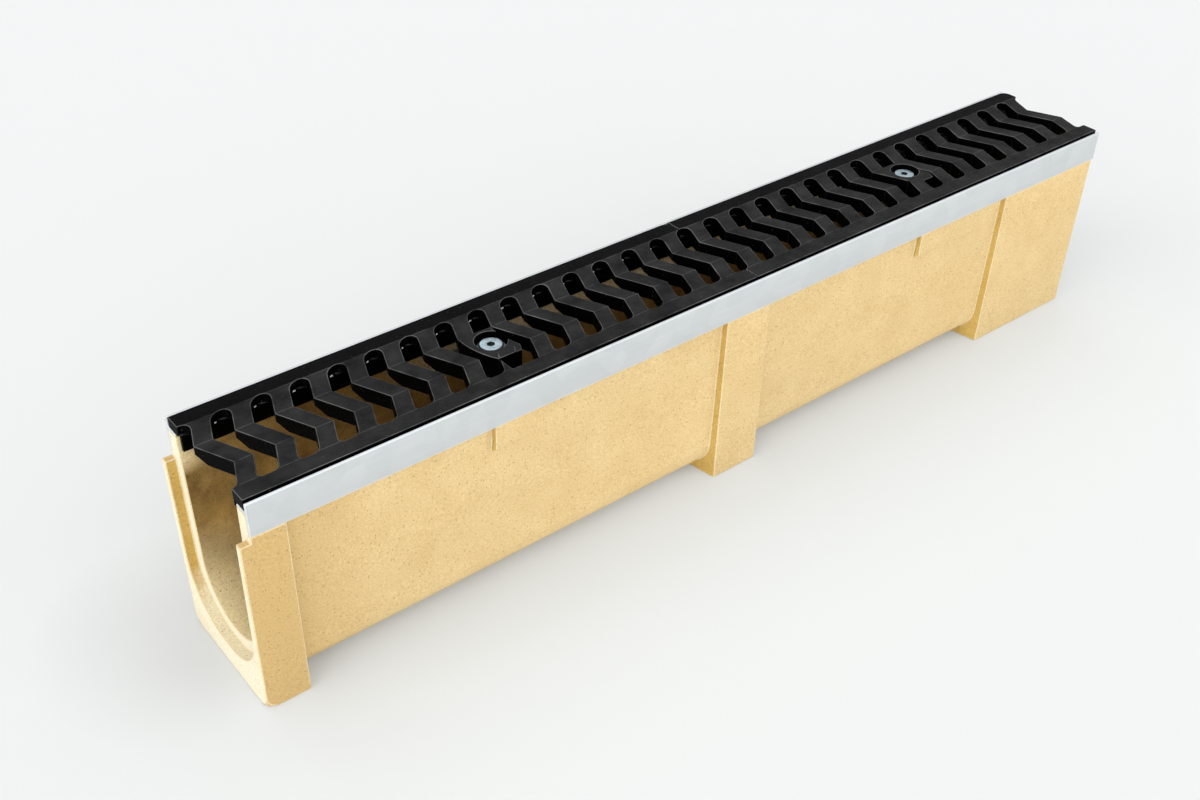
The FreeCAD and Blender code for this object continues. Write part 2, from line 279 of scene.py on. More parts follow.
concrete = make_concrete("sand concrete", light=srgb(245, 217, 160), dark=srgb(235, 204, 144),
                         speck=srgb(146, 108, 54), speck_amount=0.24,
                         second=srgb(222, 188, 126), mask=near_foot_mask)
# Painted highlight: the rounded edges are paler than the skin.
concrete_edge_highlight = make_concrete("concrete edge, painted highlight", light=srgb(252, 234, 190), dark=srgb(242, 216, 164),
                              speck=srgb(160, 126, 80), speck_amount=0.08)
concrete_end = make_concrete("pale end face", light=srgb(255, 250, 226), dark=srgb(255, 243, 208),
                             speck=srgb(190, 158, 104), speck_amount=0.06)
# Painted shade: faces towards the near end and the socket are darker gold; painted light makes them paler
# where they look up.
golden_side_shade_and_light = make_concrete("golden side, painted shade and light", light=srgb(234, 195, 110), dark=srgb(212, 170, 84),
                              speck=srgb(110, 78, 34), speck_amount=0.14,
                              second=srgb(255, 240, 200), mask=painted_light_ledge_mask)
# Stains and painted shade: the inside is darker brown; the daylight mask adds painted light where light falls
# in.
inside_stain_shade_and_light = make_concrete("stained inside, painted shade and light", light=srgb(192, 154, 84), dark=srgb(116, 86, 36),
                                speck=srgb(70, 46, 18), speck_amount=0.2,
                                second=srgb(254, 232, 178), mask=daylight_mask, grey=0.0)
for finish in (concrete, concrete_edge_highlight, concrete_end, golden_side_shade_and_light, inside_stain_shade_and_light):
    print("finish:", finish.name)

# %% [markdown]
# ### Black iron
# The castings are dipped in black paint over a sand-cast skin. The skin is slightly lumpy, the
# paint is a little glossier where it pooled, and the rims are a lighter grey, partly rubbed paint and
# partly a painted highlight. Thin painted highlights also follow the creases, where the dished bars
# bend and where they meet the rails. Faces that don't look up are painted darker, as painted shade.


# %% Iron for faces, bar tops and rims
CREASES = (17.0, 44.3)
CREASE_HALF_WIDTH = 0.42
CREASE_FREE = 24.0


def crease_highlight_mask(tree):
    """Where the painted highlights go: thin lines along the channel at the creases, with none within
    CREASE_FREE of a bolt.
    """
    place = add(tree, "ShaderNodeTexCoord").outputs["Object"]
    across = add(tree, "ShaderNodeSeparateXYZ", {"Vector": place}).outputs["Y"]
    side = calc(tree, "ABSOLUTE", across)
    lines = [calc(tree, "COMPARE", side, y * MM) for y in CREASES]
    for line in lines:
        line.node.inputs[2].default_value = CREASE_HALF_WIDTH * MM
    mask = calc(tree, "MULTIPLY", calc(tree, "MAXIMUM", *lines), facing_up(tree, 0.8, 0.95))
    for x in bolt_at.values():
        from_bolt = add(tree, "ShaderNodeVectorMath", {0: place, 1: (x, 0, casting_top)},
                        operation="DISTANCE").outputs["Value"]
        mask = calc(tree, "MULTIPLY", mask, calc(tree, "GREATER_THAN", from_bolt, CREASE_FREE * MM))
    return mask


def make_iron(name, light, dark, side, rough_low, rough_high):
    """Painted cast iron between two tones, with painted shade on faces that don't look up and painted
    highlights at the creases.
    """
    material, tree, shader = new_material(name)
    grain = place_group(tree, grain_group, Patch_Scale=45.0, Grain_Scale=420.0,
                        Speck_Scale=500.0, Speck_Amount=0.05)
    cloudy = tint(tree, grain["Patches"], dark, light)
    # Painted shade: faces that don't look up take the darker side colour.
    painted_shade = tint(tree, facing_up(tree, 0.3, 0.8), side, cloudy)
    # Painted highlight: rubbed and worn carry lighter lines along the creases.
    rubbed = calc(tree, "MULTIPLY", crease_highlight_mask(tree), between(tree, grain["Patches"], 0.2, 0.8, 0.15, 0.9))
    worn = tint(tree, rubbed, painted_shade, srgb(80, 80, 80))
    dusty = tint(tree, calc(tree, "MULTIPLY", grain["Specks"], 0.3), worn, srgb(90, 89, 86))
    tree.links.new(dusty, shader.inputs["Base Color"])
    tree.links.new(between(tree, grain["Grain"], 0, 1, rough_low, rough_high), shader.inputs["Roughness"])
    shader.inputs["Specular IOR Level"].default_value = 0.03
    bump(tree, shader, grain["Height"], 0.4, 0.0005)
    return material


# In each iron, side is the colour of faces that don't look up: painted shade.
iron = make_iron("black cast iron", light=srgb(15, 15, 15), dark=srgb(5, 5, 5), side=srgb(2, 2, 2),
                 rough_low=0.45, rough_high=0.65)
iron_dish = make_iron("rubbed bar tops", light=srgb(51, 51, 51), dark=srgb(27, 27, 27),
                      side=srgb(2, 2, 2), rough_low=0.4, rough_high=0.6)
# Painted highlight, partly rubbed paint: the rounded rims are lighter grey.
iron_rim_wear_and_highlight = make_iron("iron rim, rubbed and painted highlight", light=srgb(120, 120, 120), dark=srgb(40, 40, 40),
                      side=srgb(20, 20, 20), rough_low=0.3, rough_high=0.45)
print("finishes:", iron.name, iron_dish.name, iron_rim_wear_and_highlight.name)

# %% [markdown]
# ### Galvanised steel and zinc
# Hot zinc freezes on the rails in faint flat crystals, some a shade lighter than others. The
# bolts are plated, which is finer and brighter. Their recess and the ring round their heads are
# painted dark, as painted shade, and small painted glints lie on the castings' inner ledges. The
# rails' edges are painted lighter, as a painted highlight.


# %% Spangle group and the bright metals
def make_spangle():
    """Flat crystals of zinc: one tone to a crystal, and streaks along the rolling direction."""
    tree, inputs, outputs = new_group("zinc spangle", {"Crystal Scale": 90.0, "Streak Scale": 300.0},
                                      [("Crystals", "Float"), ("Streaks", "Float")])
    place = add(tree, "ShaderNodeTexCoord").outputs["Object"]
    cells = add(tree, "ShaderNodeTexVoronoi", {"Vector": place, "Scale": inputs.outputs["Crystal Scale"],
                                               "Randomness": 1.0})
    tone = add(tree, "ShaderNodeSeparateColor", {"Color": cells.outputs["Color"]}).outputs[1]
    drawn = add(tree, "ShaderNodeMapping", {"Vector": place, "Scale": (0.05, 1.0, 1.0)}).outputs[0]
    streaks = add(tree, "ShaderNodeTexNoise", {"Vector": drawn, "Scale": inputs.outputs["Streak Scale"],
                                               "Detail": 3.0})
    tree.links.new(tone, outputs.inputs["Crystals"])
    tree.links.new(between(tree, streaks.outputs["Fac"], 0.3, 0.7), outputs.inputs["Streaks"])
    return tree


spangle_group = make_spangle()


def make_zinc(name, light, dark, metallic, rough, crystal_scale):
    """A zinc coated metal between two tones."""
    material, tree, shader = new_material(name)
    spangle = place_group(tree, spangle_group, Crystal_Scale=crystal_scale, Streak_Scale=260.0)
    mixed = calc(tree, "ADD", calc(tree, "MULTIPLY", spangle["Crystals"], 0.55),
                 calc(tree, "MULTIPLY", spangle["Streaks"], 0.45))
    tree.links.new(tint(tree, mixed, dark, light), shader.inputs["Base Color"])
    tree.links.new(between(tree, mixed, 0, 1, rough - 0.06, rough + 0.08), shader.inputs["Roughness"])
    shader.inputs["Metallic"].default_value = metallic
    bump(tree, shader, mixed, 0.12, 0.0003)
    return material


rail_zinc = make_zinc("galvanised rail", light=srgb(214, 217, 218), dark=srgb(203, 207, 208),
                      metallic=0.5, rough=0.45, crystal_scale=60.0)
# Painted highlight: the rails' rounded edges are lighter than the rail.
rail_edge_highlight = make_zinc("rail edge", light=srgb(240, 243, 246), dark=srgb(222, 227, 231),
                      metallic=0.5, rough=0.34, crystal_scale=85.0)
bolt_zinc = make_zinc("plated bolt", light=srgb(196, 214, 222), dark=srgb(150, 172, 182),
                      metallic=0.85, rough=0.32, crystal_scale=500.0)
bar_steel = make_zinc("crossbar steel", light=srgb(150, 152, 154), dark=srgb(120, 122, 125),
                      metallic=0.8, rough=0.5, crystal_scale=200.0)
# Painted glint: white spots on the castings' inner ledges.
painted_glint = make_zinc("painted glint", light=srgb(252, 252, 252), dark=srgb(236, 238, 240),
                      metallic=0.0, rough=0.35, crystal_scale=500.0)
# Painted shade: dark colour for the bolt's recess and the ring round its head.
shadow_steel = make_zinc("painted shade recess", light=srgb(34, 39, 43), dark=srgb(16, 18, 20),
                         metallic=0.1, rough=0.6, crystal_scale=500.0)
for finish in (rail_zinc, rail_edge_highlight, bolt_zinc, bar_steel, painted_glint, shadow_steel):
    print("finish:", finish.name)

# %% [markdown]
# ## Making pieces
# A sharp computer edge gives itself away: nothing real has one. So each piece is a copy of its
# node, or a mesh made here, whose edges a Bevel modifier rounds. The modifier also puts the new
# narrow faces in the last material slot, and that is how the rims get their own finish: a paler
# painted highlight on the concrete, the rails and the castings (on the castings partly rubbed paint
# too), and painted shade round the bolt heads, while the other small parts keep their finish.


# %% Helpers for meshes
SHARP_ANGLE = 35


def new_piece(name, maker, *materials):
    """An object at the origin whose mesh the maker fills, with its material slots."""
    mesh = bpy.data.meshes.new(name)
    shape = bmesh.new()
    maker(shape)
    shape.to_mesh(mesh)
    shape.free()
    piece = bpy.data.objects.new(name, mesh)
    bpy.context.scene.collection.objects.link(piece)
    for material in materials:
        mesh.materials.append(material)
    return piece


def copy_of(node, name, *materials):
    """A piece with the shape of a node, as whole flat faces and not as triangles."""
    def maker(shape):
        shape.from_mesh(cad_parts[node].data)
        bmesh.ops.remove_doubles(shape, verts=shape.verts, dist=0.01 * MM)
        bmesh.ops.dissolve_limit(shape, angle_limit=math.radians(1), verts=shape.verts, edges=shape.edges)
        for face in shape.faces:
            face.material_index = 0
    return new_piece(name, maker, *materials)


@contextmanager
def opened(piece):
    """Open a piece's mesh for editing and write it back afterwards."""
    shape = bmesh.new()
    shape.from_mesh(piece.data)
    yield shape
    shape.to_mesh(piece.data)
    shape.free()


def bake(piece):
    """Turn a piece and its modifiers into a plain mesh."""
    bpy.context.view_layer.update()
    ready = piece.evaluated_get(bpy.context.evaluated_depsgraph_get())
    mesh = bpy.data.meshes.new_from_object(ready)
    piece.modifiers.clear()
    piece.data = mesh
    return piece


def soften(piece, width, segments):
    """Round a piece's sharp edges; the rounded faces take the last material."""
    for face in piece.data.polygons:
        face.use_smooth = True
    rounding = piece.modifiers.new("rounding", "BEVEL")
    rounding.width = width * MM
    rounding.segments = segments
    rounding.limit_method = "ANGLE"
    rounding.angle_limit = math.radians(SHARP_ANGLE)
    rounding.use_clamp_overlap = False
    rounding.harden_normals = True
    rounding.material = len(piece.data.materials) - 1
    return bake(piece)


def hand_over(piece, slot, *nodes):
    """The piece stands for its nodes and rides on the one body; slot is not used."""
    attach(piece, "root")
    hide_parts(*nodes)
    print(piece.name, len(piece.data.polygons), "faces, for", ", ".join(nodes))


print("edges sharper than", SHARP_ANGLE, "degrees will be rounded")

# %% [markdown]
# ## The channel
# One casting of concrete: walls, three feet, the socket at the near end and the tongue at the far
# end. The node has the right shape, so its copy is only refined. The places that the next cell
# looks for come first: how far the trough, the socket and the pads reach.

# %% Places on the channel, in millimetres
NEAR_FACES = -490.0
NEAR_END = -499.0
SOCKET_HALF = 57.0
SOCKET_FLOOR = 20.0
TROUGH_HALF = 47.5
TROUGH_FLOOR = 33.0
BEND_LEVEL = 77.0
TROUGH_REACH = (42.0, 48.0)
TROUGH_SPREAD = 1.05
SOCKET_REACH = (48.5, 57.5)
SOCKET_SPREAD = 1.045
SOCKET_MOUTH = -499.9
SOCKET_BOTTOM = 22.0
OUTSIDE = 50.0
PAD_FACE = 59.0
PAD_REACH = 42.0
PAD_LOW = 149.5
PAD_RIM_ALONG = (-44.0, 40.0)
PAD_RIM_LEVELS = (144.5, 157.5)
WALL_AT_PAD = 58.34
FOOT_CORNER = 13.0
print("near end of the walls at", NEAR_END, "and pads to", PAD_REACH, "mm beyond each bolt")

# %% [markdown]
# ### Refining the copy
# Where a face lies and where it looks decide its finish. Then the walls' ends are thinned, the pads
# run out into the wall, the two bottom corners in view are worn round, and all edges are rounded.


# %% Shape and finish of the channel
def wear_near_foot(piece):
    """Round the two bottom corners of the near end, which stand in view."""
    with opened(piece) as shape:
        end = min(v.co.x for v in shape.verts)
        corners = [v for v in shape.verts if v.co.z < 0.1 * MM and v.co.x < end + 0.1 * MM]
        bmesh.ops.bevel(shape, geom=corners, offset=FOOT_CORNER * MM, segments=6, profile=0.5,
                        affect="VERTICES")
    print("worn corners:", len(corners))


def thin_walls(piece):
    """Spread the trough and the socket a little, so that their walls end as thin as in the photo."""
    for corner in piece.data.vertices:
        x, y, z = corner.co / MM
        reach = math.hypot(y, min(z - BEND_LEVEL, 0))
        if TROUGH_REACH[0] < reach < TROUGH_REACH[1] and z > TROUGH_FLOOR:
            corner.co.y *= TROUGH_SPREAD
        elif SOCKET_REACH[0] < reach < SOCKET_REACH[1] and z > SOCKET_BOTTOM and x < SOCKET_MOUTH:
            corner.co.y *= SOCKET_SPREAD


def finish_of(face):
    """Which of the channel's finishes a face takes: 0 skin, 1 inside with stains and painted shade, 2 golden
    side with painted shade and light, 3 near end.
    """
    middle = face.center / MM
    if face.normal.x < -0.8:
        # Faces that look towards the near end, other than the end itself, take the golden side: painted
        # shade.
        return 3 if middle.x < NEAR_FACES else 2
    if abs(face.normal.x) > 0.5:
        return 0
    # The socket's faces take the golden side too: painted shade, with painted light where they look up.
    if middle.x < NEAR_END and abs(middle.y) < SOCKET_HALF and middle.z > SOCKET_FLOOR:
        return 2
    return int(abs(middle.y) < TROUGH_HALF and middle.z > TROUGH_FLOOR)


def run_out_pads(piece):
    """Draw the far corner of each pad beside a bolt onto the wall, so that the pad ends in nothing."""
    drawn = 0
    with opened(piece) as shape:
        for corner in shape.verts:
            x, y, z = corner.co / MM
            at_end = any(abs(x - bolt_x / MM - PAD_REACH) < 0.2 for bolt_x in bolt_at.values())
            if at_end and abs(abs(y) - PAD_FACE) < 0.1 and abs(z - PAD_LOW) < 0.2:
                corner.co.y = math.copysign(WALL_AT_PAD * MM, y)
                drawn += 1
        bmesh.ops.remove_doubles(shape, verts=shape.verts, dist=0.02 * MM)
    print("pad corners drawn in:", drawn)


def is_pad_rim(face):
    """The lower rim of a pad, which has the skin of the wall."""
    middle = face.center / MM
    near_bolt = any(PAD_RIM_ALONG[0] < middle.x - bolt_x / MM < PAD_RIM_ALONG[1]
                    for bolt_x in bolt_at.values())
    at_rim = PAD_RIM_LEVELS[0] < middle.z < PAD_RIM_LEVELS[1]
    return near_bolt and at_rim and abs(middle.y) > OUTSIDE


channel = copy_of("channel_body", "channel", concrete, inside_stain_shade_and_light, golden_side_shade_and_light, concrete_end,
                  concrete_edge_highlight)
for face in channel.data.polygons:
    face.material_index = finish_of(face)
print("faces by finish:", [sum(f.material_index == i for f in channel.data.polygons) for i in range(4)])
thin_walls(channel)
run_out_pads(channel)
wear_near_foot(channel)
soften(channel, width=0.9, segments=2)
for face in channel.data.polygons:
    if is_pad_rim(face):
        face.material_index = 0
hand_over(channel, "concrete", "channel_body")

# %% [markdown]
# ## The steel rails
# Folded strip, galvanised after folding. Its edges are smooth, and their lighter colour is a painted
# highlight.

# %% Round the rails
for side in ("front", "back"):
    rail = copy_of("edge_rail_" + side, "rail_" + side, rail_zinc, rail_edge_highlight)
    hand_over(soften(rail, width=0.8, segments=3), "rail_steel", "edge_rail_" + side)

# %% [markdown]
# ## The zigzag castings
# The shape follows a rule: one slot, repeated at an even pitch along a plate. So the plate, one
# slot, the boss with its skirts and the last cuts are simple meshes, and a Geometry Nodes tree does
# the repeating and the cutting. The slot is drawn at x = 0, because the tree carries it along; the
# others are drawn in their places.

# %% Sizes of a casting, in millimetres
BARS = 15
BAR_WIDTH = 16.0
SLOT_REACH = 45.0
SLOT_CORNER = 5.0
KINK = 17.0
BEND_BACK = 10.0
BEND_MIDDLE = 15.5
BEND_FRONT = 11.0
DISH_DEPTH = 1.2
DISH_REACH = 44.0
FLANGE = 10.0
BAR_DEPTH = 15.0
HAUNCH_DEPTH = 9.0
HAUNCH_BEGIN = {"near": 7.0, "far": 30.0}
HAUNCH_RUN = 10.0
SKIRT_THICKNESS = 3.2
SKIRT_TOP = 8.0
SKIRT_DEPTH = 24.0
SKIRT_LEDGE = 1.4
SKIRT_END = 1.5
END_MARGIN = 0.3
NOTCH_DEPTH = 15.5
NOTCH_LENGTH = 14.0
CORNER_RADIUS = 8.0
BOSS_DEPTH = 21.0
BOSS_FRONT = 26.0
BOSS_LEFT = ((-21.0, KINK), (-19.5, -2.0), (-10.0, -BOSS_FRONT))
BOSS_TIP = (13.0, -BOSS_FRONT)
BOSS_RIGHT = ((16.5, -18.0), (12.2, -2.0), (11.5, KINK))
OPEN_FRONT = (-10.0, 16.5)
COUNTERBORE_RADIUS = 14.0
COUNTERBORE_DEPTH = 8.6
SHANK_HOLE = 5.6
CUT_OVER = 5.0
CUT_UNDER = 30.0
OPEN_UNDER = 40.0
length = casting_length / MM
top = casting_top / MM
half_width = casting_half / MM
pitch = (length - 2 * END_MARGIN - BEND_MIDDLE - BAR_WIDTH) / (BARS - 1)
slot_width = pitch - BAR_WIDTH
print("pitch", round(pitch, 2), "mm, slot", round(slot_width, 2), "mm wide")

# %% [markdown]
# ### Outlines
# A slot leans one way behind the first bend, the other way in the middle, and back again in
# front. `lean` says how far along the channel a bar's edge lies at each place across it.


# %% Outlines
def lean(y):
    """How far a bar's edge lies along the channel at y, seen from its first bend."""
    arm = DISH_REACH - KINK
    if y > KINK:
        return BEND_BACK * (y - KINK) / arm
    if y > -KINK:
        return BEND_MIDDLE * (KINK - y) / (2 * KINK)
    return BEND_MIDDLE - BEND_FRONT * (-KINK - y) / arm


def slot_outline(steps=8):
    """One slot: straight runs between the bends, round behind, with two rounded corners in front."""
    radius = slot_width / 2
    start = SLOT_REACH - radius
    turns = [math.pi * i / steps for i in range(steps + 1)]
    points = [(-radius + lean(start + radius * math.sin(t)) + radius * math.cos(t),
               start + radius * math.sin(t)) for t in turns]
    points += [(-slot_width + lean(KINK), KINK), (-slot_width + lean(-KINK), -KINK)]
    corner_y = SLOT_CORNER - SLOT_REACH
    quarter = steps // 2
    for middle, begin in ((SLOT_CORNER - slot_width, math.pi), (-SLOT_CORNER, 1.5 * math.pi)):
        for i in range(quarter + 1):
            t = begin + i * math.pi / 2 / quarter
            y = corner_y + SLOT_CORNER * math.sin(t)
            points.append((middle + lean(y) + SLOT_CORNER * math.cos(t), y))
    points += [(lean(-KINK), -KINK), (lean(KINK), KINK)]
    return points


def arc_through(a, b, c, steps=6):
    """Points on the circle through three points, from a to c."""
    ax, ay, bx, by, cx, cy = *a, *b, *c
    d = 2 * (ax * (by - cy) + bx * (cy - ay) + cx * (ay - by))
    ux = ((ax * ax + ay * ay) * (by - cy) + (bx * bx + by * by) * (cy - ay)
          + (cx * cx + cy * cy) * (ay - by)) / d
    uy = ((ax * ax + ay * ay) * (cx - bx) + (bx * bx + by * by) * (ax - cx)
          + (cx * cx + cy * cy) * (bx - ax)) / d
    radius = math.hypot(ax - ux, ay - uy)
    begin = math.atan2(ay - uy, ax - ux)
    finish = math.atan2(cy - uy, cx - ux)
    turn = (finish - begin + math.pi) % (2 * math.pi) - math.pi
    return [(ux + radius * math.cos(begin + turn * i / steps),
             uy + radius * math.sin(begin + turn * i / steps)) for i in range(steps + 1)]


def boss_outline():
    """The boss round a bolt, seen from above with the bolt in the middle."""
    return arc_through(*BOSS_LEFT) + [BOSS_TIP] + arc_through(*BOSS_RIGHT)


print("points: slot", len(slot_outline()), "and boss", len(boss_outline()))

# %% [markdown]
# ### From outlines to solids
# Most solids here are one of two kinds. A prism is an outline pushed straight up, or along the
# channel; a turned shape is a profile swept round an upright axis. Each function returns a maker,
# which later fills the mesh of a new piece.


# %% Prisms and turned shapes
def close_rings(shape, first, second):
    """Close two rings of corners into a solid: a face on each ring, and the sides between them."""
    shape.faces.new(first)
    shape.faces.new(second)
    count = len(first)
    for i in range(count):
        j = (i + 1) % count
        shape.faces.new((first[i], first[j], second[j], second[i]))


def prism(points, low, high, upright=True):
    """A maker for a flat outline that is pushed up, or along the channel."""
    def maker(shape):
        rings = []
        for level in (low, high):
            if upright:
                corners = [Vector((a, b, level)) * MM for a, b in points]
            else:
                corners = [Vector((level, a, b)) * MM for a, b in points]
            rings.append([shape.verts.new(c) for c in corners])
        close_rings(shape, *rings)
        bmesh.ops.recalc_face_normals(shape, faces=shape.faces)
    return maker


def turned(profile, x, steps=64):
    """A maker for a profile of (radius, height) that is turned round an upright axis at x."""
    def maker(shape):
        rings = []
        for radius, height in profile:
            if radius == 0:
                rings.append([shape.verts.new(Vector((x, 0, height)) * MM)])
                continue
            angles = [2 * math.pi * i / steps for i in range(steps)]
            circle = [Vector((x + radius * math.cos(t), radius * math.sin(t), height)) for t in angles]
            rings.append([shape.verts.new(place * MM) for place in circle])
        for a, b in zip(rings, rings[1:]):
            for i in range(steps):
                j = (i + 1) % steps
                corners = [a[i % len(a)], a[j % len(a)], b[j % len(b)], b[i % len(b)]]
                shape.faces.new(list(dict.fromkeys(corners)))
        bmesh.ops.recalc_face_normals(shape, faces=shape.faces)
    return maker


print("helper: close_rings; makers: prism, turned")

# %% [markdown]
# ### Plate and cutters
# The plate is the casting's section pushed along the channel. A cutter is always taller than what
# it cuts, so that no paper-thin skin is left on a face that the two would share.


# %% Plate, slot, corner and bore
def plate_outline(haunch):
    """The section across the channel before any cut; behind y = haunch the bars get shallower."""
    inner = SLOT_REACH - SKIRT_LEDGE + SKIRT_THICKNESS
    seat = top - FLANGE
    high = top - HAUNCH_DEPTH
    low = top - BAR_DEPTH
    return [(-half_width, top), (-DISH_REACH, top), (-KINK, top - DISH_DEPTH), (KINK, top - DISH_DEPTH),
            (DISH_REACH, top), (half_width, top), (half_width, seat), (inner, seat), (inner, high),
            (haunch + HAUNCH_RUN, high), (haunch, low), (-inner, low), (-inner, seat), (-half_width, seat)]


def corner_cutter(x1):
    """A cutter that rounds the back corner of a casting's far end."""
    centre_x = x1 - CORNER_RADIUS
    centre_y = half_width - CORNER_RADIUS
    turns = [math.pi / 2 * i / 6 for i in range(7)]
    points = [(centre_x + CORNER_RADIUS * math.cos(t), centre_y + CORNER_RADIUS * math.sin(t)) for t in turns]
    points += [(centre_x, half_width + CUT_OVER), (x1 + CUT_OVER, half_width + CUT_OVER),
               (x1 + CUT_OVER, centre_y)]
    return prism(points, top - CUT_UNDER, top + CUT_OVER)


def bore_profile():
    """The counterbore and the shank's hole as one turned solid."""
    floor = top - DISH_DEPTH - COUNTERBORE_DEPTH
    return [(0, top + CUT_OVER), (COUNTERBORE_RADIUS, top + CUT_OVER), (COUNTERBORE_RADIUS, floor),
            (SHANK_HOLE, floor), (SHANK_HOLE, top - BOSS_DEPTH - CUT_OVER), (0, top - BOSS_DEPTH - CUT_OVER)]


def open_front(bolt_x):
    """The near casting has no bar in front of its boss, so that stretch is cut away."""
    x1, x2 = bolt_x + OPEN_FRONT[0], bolt_x + OPEN_FRONT[1]
    y1, y2 = -SLOT_REACH, -BOSS_FRONT
    return prism([(x1, y1), (x2, y1), (x2, y2), (x1, y2)], top - OPEN_UNDER, top + CUT_OVER)


slot_cutter = new_piece("slot_cutter", prism(slot_outline(), top - CUT_UNDER, top + CUT_OVER))
print("slot cutter", CUT_UNDER + CUT_OVER, "mm tall")

# %% [markdown]
# ### The tree
# Mesh Line gives the points, Instance on Points puts a slot on each, and Realize Instances turns
# them into real faces, which Mesh Boolean needs. The boss and the skirts are joined on next. The
# last cuts follow: the bore, the rounded corner and the open stretch of the near casting.


# %% Build the tree
def make_casting_tree():
    """Cut a row of slots from a plate, join on the boss and the skirts, and bore the boss."""
    tree = bpy.data.node_groups.new("zigzag casting", "GeometryNodeTree")
    kinds = (("Plate", "Geometry"), ("Slot", "Object"), ("Solids", "Object"), ("Bore", "Object"),
             ("Slot Count", "Int"), ("First Slot", "Float"), ("Pitch", "Float"), ("Finish", "Material"))
    for label, kind in kinds:
        tree.interface.new_socket(label, in_out="INPUT", socket_type="NodeSocket" + kind)
    tree.interface.new_socket("Casting", in_out="OUTPUT", socket_type="NodeSocketGeometry")
    given = tree.nodes.new("NodeGroupInput").outputs
    first = add(tree, "ShaderNodeCombineXYZ", {"X": given["First Slot"]}).outputs[0]
    step = add(tree, "ShaderNodeCombineXYZ", {"X": given["Pitch"]}).outputs[0]
    row = add(tree, "GeometryNodeMeshLine", {"Count": given["Slot Count"], "Start Location": first,
                                             "Offset": step})
    shapes = {name: add(tree, "GeometryNodeObjectInfo", {"Object": given[name]}).outputs["Geometry"]
              for name in ("Slot", "Solids", "Bore")}
    slots = add(tree, "GeometryNodeInstanceOnPoints", {"Points": row.outputs["Mesh"],
                                                       "Instance": shapes["Slot"]})
    real = add(tree, "GeometryNodeRealizeInstances", {"Geometry": slots.outputs["Instances"]})
    cut = add(tree, "GeometryNodeMeshBoolean", operation="DIFFERENCE", solver="EXACT")
    tree.links.new(given["Plate"], cut.inputs["Mesh 1"])
    tree.links.new(real.outputs["Geometry"], cut.inputs["Mesh 2"])
    whole = add(tree, "GeometryNodeMeshBoolean", operation="UNION", solver="EXACT")
    tree.links.new(cut.outputs["Mesh"], whole.inputs["Mesh 2"])
    tree.links.new(shapes["Solids"], whole.inputs["Mesh 2"])
    bored = add(tree, "GeometryNodeMeshBoolean", operation="DIFFERENCE", solver="EXACT")
    tree.links.new(whole.outputs["Mesh"], bored.inputs["Mesh 1"])
    tree.links.new(shapes["Bore"], bored.inputs["Mesh 2"])
    plain = add(tree, "GeometryNodeRealizeInstances", {"Geometry": bored.outputs["Mesh"]})
    dressed = add(tree, "GeometryNodeSetMaterial", {"Geometry": plain.outputs["Geometry"],
                                                    "Material": given["Finish"]})
    out = tree.nodes.new("NodeGroupOutput")
    tree.links.new(dressed.outputs["Geometry"], out.inputs["Casting"])
    return tree


def run_tree(piece, tree, **values):
    """Run a Geometry Nodes tree on a piece with its named inputs set, and bake the result."""
    modifier = piece.modifiers.new(tree.name, "NODES")
    modifier.node_group = tree
    for item in tree.interface.items_tree:
        key = item.name.replace(" ", "_")
        if item.in_out == "INPUT" and key in values:
            modifier[item.identifier] = values[key]
    return bake(piece)


casting_tree = make_casting_tree()
print("tree:", casting_tree.name, "with", len(casting_tree.nodes), "nodes")

# %% [markdown]
# ### Boss and skirts
# The skirts are thin walls that hang from both sides and stand inside the trough. In each slot a
# small white spot on the ledge at their top is a painted glint.


# %% Boss, skirts and painted glints
SPOT_FROM_LEFT = 5.5
SPOT_INWARD = 1.6
SPOT_SIZE = (2.6, 1.0, 0.8)
SPOT_VARY = 0.7
SPOT_SLOT = 2


def skirt_outline(x0, notched):
    """A skirt seen from the side."""
    x1 = x0 + SKIRT_END
    x2 = x0 + length - SKIRT_END
    low = top - SKIRT_DEPTH
    points = [(x1, top - SKIRT_TOP), (x2, top - SKIRT_TOP), (x2, low)]
    if not notched:
        return points + [(x1, low)]
    notch_top = top - NOTCH_DEPTH
    return points + [(x1 + NOTCH_LENGTH, low), (x1 + NOTCH_LENGTH, notch_top), (x1, notch_top)]


def add_skirt(shape, x0, side):
    """One skirt, standing inside the trough wall."""
    inner = side * (SLOT_REACH - SKIRT_LEDGE)
    outer = side * (SLOT_REACH - SKIRT_LEDGE + SKIRT_THICKNESS)
    points = skirt_outline(x0, side < 0)
    close_rings(shape, *([shape.verts.new(Vector((x, y, z)) * MM) for x, z in points]
                         for y in (inner, outer)))


def merge_flat_faces(piece):
    """Booleans leave cuts across flat faces; dissolve them, so that the bevel stays clean."""
    with opened(piece) as shape:
        bmesh.ops.remove_doubles(shape, verts=shape.verts, dist=0.02 * MM)
        bmesh.ops.dissolve_limit(shape, angle_limit=math.radians(0.5), verts=shape.verts,
                                 edges=shape.edges)


def add_painted_glints(piece, x0):
    """A painted glint, a small white spot on the skirt's ledge, in the back end of each slot."""
    with opened(piece) as shape:
        for i in range(1, BARS):
            left = x0 + END_MARGIN + i * pitch - slot_width + lean(SLOT_REACH - slot_width / 2)
            middle = Vector((left + SPOT_FROM_LEFT, SLOT_REACH - SPOT_INWARD, top - SKIRT_TOP))
            spot_length = SPOT_SIZE[0] + SPOT_VARY * math.sin(5 * i)
            flat = Matrix.Diagonal((spot_length, SPOT_SIZE[1], SPOT_SIZE[2], 1 / MM)) * MM
            spot = bmesh.ops.create_icosphere(shape, subdivisions=1, radius=1,
                                              matrix=Matrix.Translation(middle * MM) @ flat)
            for face in {f for v in spot["verts"] for f in v.link_faces}:
                face.material_index = SPOT_SLOT
                face.smooth = True


